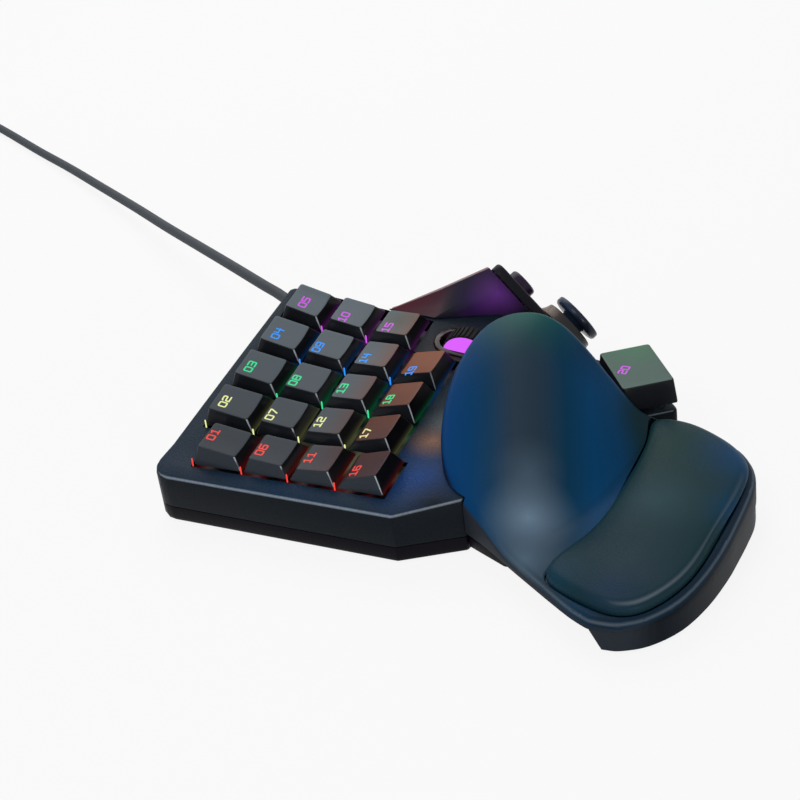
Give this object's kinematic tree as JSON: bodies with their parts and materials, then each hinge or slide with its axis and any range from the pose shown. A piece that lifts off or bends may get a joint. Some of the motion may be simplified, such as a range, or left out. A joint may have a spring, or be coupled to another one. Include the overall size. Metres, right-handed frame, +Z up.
{
  "type": "gaming keypad",
  "caption": "Left-hand gaming keypad with sprung lit keys, clickable scroll wheel, tilting thumb pad, thumb key and a sliding cushioned palm rest.",
  "frame": {"origin": "centre of the footprint of the keypad without its free cord, on the desk", "axes": "+X to the thumb side, +Y away from the user towards the end where the cord leaves, +Z up"},
  "size_m": [0.4243, 0.7279, 0.0608],
  "materials": {
    "key_cap_plastic": "satin dark grey plastic",
    "deck_plastic": "fine-textured dark plastic",
    "base_plastic": "plain black plastic",
    "gloss_plastic": "polished black plastic",
    "soft_touch_plastic": "smooth soft-touch satin",
    "leatherette": "fine-grained leatherette",
    "rubber": "matt black rubber",
    "dome_rubber": "pale silicone rubber",
    "lit_plastic": "translucent plastic lit from inside",
    "steel": "plain steel",
    "circuit_board": "green circuit board",
    "braided_cord": "black woven sleeve"
  },
  "bodies": {
    "base": {"bottom_cover": "base_plastic", "top_cover": "deck_plastic", "key_plate": "steel", "dome_sheet": "dome_rubber", "main_board": "circuit_board", "thumb_board": "circuit_board", "rubber_foot_1": "rubber", "rubber_foot_2": "rubber", "rubber_foot_3": "rubber", "rubber_foot_4": "rubber", "base_screw_1": "steel", "base_screw_2": "steel", "base_screw_3": "steel", "base_screw_4": "steel", "thumb_key_housing": "deck_plastic", "wheel_bracket": "base_plastic", "wheel_bezel": "gloss_plastic", "thumb_wedge_cover": "gloss_plastic", "thumb_panel": "deck_plastic", "pad_collar": "gloss_plastic", "palm_rail_right": "steel", "palm_rail_left": "steel", "palm_mount": "base_plastic", "cable_gland": "rubber", "cable_lead": "braided_cord", "cable_coil": "braided_cord", "usb_plug_body": "base_plastic", "usb_plug_shell": "steel"},
    "key_01": {"key_01": "key_cap_plastic"},
    "key_02": {"key_02": "key_cap_plastic"},
    "key_03": {"key_03": "key_cap_plastic"},
    "key_04": {"key_04": "key_cap_plastic"},
    "key_05": {"key_05": "key_cap_plastic"},
    "key_06": {"key_06": "key_cap_plastic"},
    "key_07": {"key_07": "key_cap_plastic"},
    "key_08": {"key_08": "key_cap_plastic"},
    "key_09": {"key_09": "key_cap_plastic"},
    "key_10": {"key_10": "key_cap_plastic"},
    "key_11": {"key_11": "key_cap_plastic"},
    "key_12": {"key_12": "key_cap_plastic"},
    "key_13": {"key_13": "key_cap_plastic"},
    "key_14": {"key_14": "key_cap_plastic"},
    "key_15": {"key_15": "key_cap_plastic"},
    "key_16": {"key_16": "key_cap_plastic"},
    "key_17": {"key_17": "key_cap_plastic"},
    "key_18": {"key_18": "key_cap_plastic"},
    "key_19": {"key_19": "key_cap_plastic"},
    "key_20": {"key_20": "key_cap_plastic"},
    "wheel_carriage": {"wheel_carriage": "base_plastic", "wheel_encoder": "base_plastic"},
    "scroll_wheel": {"wheel_hub": "lit_plastic", "wheel_tyre": "rubber", "wheel_axle": "steel"},
    "mode_button": {"mode_button": "gloss_plastic"},
    "pad_gimbal": {"pad_gimbal": "base_plastic"},
    "thumb_pad": {"thumb_pad": "gloss_plastic"},
    "palm_rest": {"palm_shell": "soft_touch_plastic", "palm_cushion": "leatherette", "palm_foot_strip": "rubber", "palm_runner": "base_plastic"}
  },
  "joints": [
    {"name": "key_01_press", "type": "slide", "parent": "base", "child": "key_01", "axis": [0.1736, 0, -0.9848], "range_m": [0, 0.0036], "stiffness_N_per_m": 120, "springref_m": -0.003},
    {"name": "key_02_press", "type": "slide", "parent": "base", "child": "key_02", "axis": [0.2436, 0.0272, -0.9695], "range_m": [0, 0.0036], "stiffness_N_per_m": 120, "springref_m": -0.003},
    {"name": "key_03_press", "type": "slide", "parent": "base", "child": "key_03", "axis": [0.2433, 0.0544, -0.9684], "range_m": [0, 0.0036], "stiffness_N_per_m": 120, "springref_m": -0.003},
    {"name": "key_04_press", "type": "slide", "parent": "base", "child": "key_04", "axis": [0.2429, 0.0814, -0.9666], "range_m": [0, 0.0036], "stiffness_N_per_m": 120, "springref_m": -0.003},
    {"name": "key_05_press", "type": "slide", "parent": "base", "child": "key_05", "axis": [0.2423, 0.1082, -0.9642], "range_m": [0, 0.0036], "stiffness_N_per_m": 120, "springref_m": -0.003},
    {"name": "key_06_press", "type": "slide", "parent": "base", "child": "key_06", "axis": [0.1736, 0, -0.9848], "range_m": [0, 0.0036], "stiffness_N_per_m": 120, "springref_m": -0.003},
    {"name": "key_07_press", "type": "slide", "parent": "base", "child": "key_07", "axis": [0.2174, 0.0274, -0.9757], "range_m": [0, 0.0036], "stiffness_N_per_m": 120, "springref_m": -0.003},
    {"name": "key_08_press", "type": "slide", "parent": "base", "child": "key_08", "axis": [0.2171, 0.0547, -0.9746], "range_m": [0, 0.0036], "stiffness_N_per_m": 120, "springref_m": -0.003},
    {"name": "key_09_press", "type": "slide", "parent": "base", "child": "key_09", "axis": [0.2167, 0.0819, -0.9728], "range_m": [0, 0.0036], "stiffness_N_per_m": 120, "springref_m": -0.003},
    {"name": "key_10_press", "type": "slide", "parent": "base", "child": "key_10", "axis": [0.2162, 0.1089, -0.9703], "range_m": [0, 0.0036], "stiffness_N_per_m": 120, "springref_m": -0.003},
    {"name": "key_11_press", "type": "slide", "parent": "base", "child": "key_11", "axis": [0.1736, 0, -0.9848], "range_m": [0, 0.0036], "stiffness_N_per_m": 120, "springref_m": -0.003},
    {"name": "key_12_press", "type": "slide", "parent": "base", "child": "key_12", "axis": [0.1906, 0.0275, -0.9813], "range_m": [0, 0.0036], "stiffness_N_per_m": 120, "springref_m": -0.003},
    {"name": "key_13_press", "type": "slide", "parent": "base", "child": "key_13", "axis": [0.1904, 0.055, -0.9802], "range_m": [0, 0.0036], "stiffness_N_per_m": 120, "springref_m": -0.003},
    {"name": "key_14_press", "type": "slide", "parent": "base", "child": "key_14", "axis": [0.1901, 0.0824, -0.9783], "range_m": [0, 0.0036], "stiffness_N_per_m": 120, "springref_m": -0.003},
    {"name": "key_15_press", "type": "slide", "parent": "base", "child": "key_15", "axis": [0.1896, 0.1095, -0.9757], "range_m": [0, 0.0036], "stiffness_N_per_m": 120, "springref_m": -0.003},
    {"name": "key_16_press", "type": "slide", "parent": "base", "child": "key_16", "axis": [0.1736, 0, -0.9848], "range_m": [0, 0.0036], "stiffness_N_per_m": 120, "springref_m": -0.003},
    {"name": "key_17_press", "type": "slide", "parent": "base", "child": "key_17", "axis": [0.1635, 0.0277, -0.9862], "range_m": [0, 0.0036], "stiffness_N_per_m": 120, "springref_m": -0.003},
    {"name": "key_18_press", "type": "slide", "parent": "base", "child": "key_18", "axis": [0.1633, 0.0553, -0.985], "range_m": [0, 0.0036], "stiffness_N_per_m": 120, "springref_m": -0.003},
    {"name": "key_19_press", "type": "slide", "parent": "base", "child": "key_19", "axis": [0.163, 0.0828, -0.9831], "range_m": [0, 0.0036], "stiffness_N_per_m": 120, "springref_m": -0.003},
    {"name": "key_20_press", "type": "slide", "parent": "base", "child": "key_20", "axis": [0, 0, -1], "range_m": [0, 0.0022], "stiffness_N_per_m": 180, "springref_m": -0.003},
    {"name": "wheel_click", "type": "slide", "parent": "base", "child": "wheel_carriage", "axis": [0.1482, 0.1125, -0.9825], "range_m": [0, 0.0006], "stiffness_N_per_m": 900, "springref_m": -0.001},
    {"name": "wheel_roll", "type": "hinge", "parent": "wheel_carriage", "child": "scroll_wheel", "pos_m": [0.03848, 0.01616, 0.029], "axis": [0.989, -0.0169, 0.1472], "continuous": true},
    {"name": "mode_button_press", "type": "slide", "parent": "base", "child": "mode_button", "axis": [-0.6575, 0.5671, -0.4961], "range_m": [0, 0.0008], "stiffness_N_per_m": 800, "springref_m": -0.001},
    {"name": "pad_roll", "type": "hinge", "parent": "base", "child": "pad_gimbal", "pos_m": [0.06774, -0.01021, 0.02883], "axis": [-0.0569, -0.6939, -0.7178], "range_deg": [-6, 6], "stiffness_Nm_per_rad": 0.06},
    {"name": "pad_pitch", "type": "hinge", "parent": "pad_gimbal", "child": "thumb_pad", "pos_m": [0.06774, -0.01021, 0.02883], "axis": [0.7513, 0.4437, -0.4885], "range_deg": [-6, 6], "stiffness_Nm_per_rad": 0.06},
    {"name": "palm_slide", "type": "slide", "parent": "base", "child": "palm_rest", "axis": [0, -1, 0], "range_m": [0, 0.012]}
  ]
}
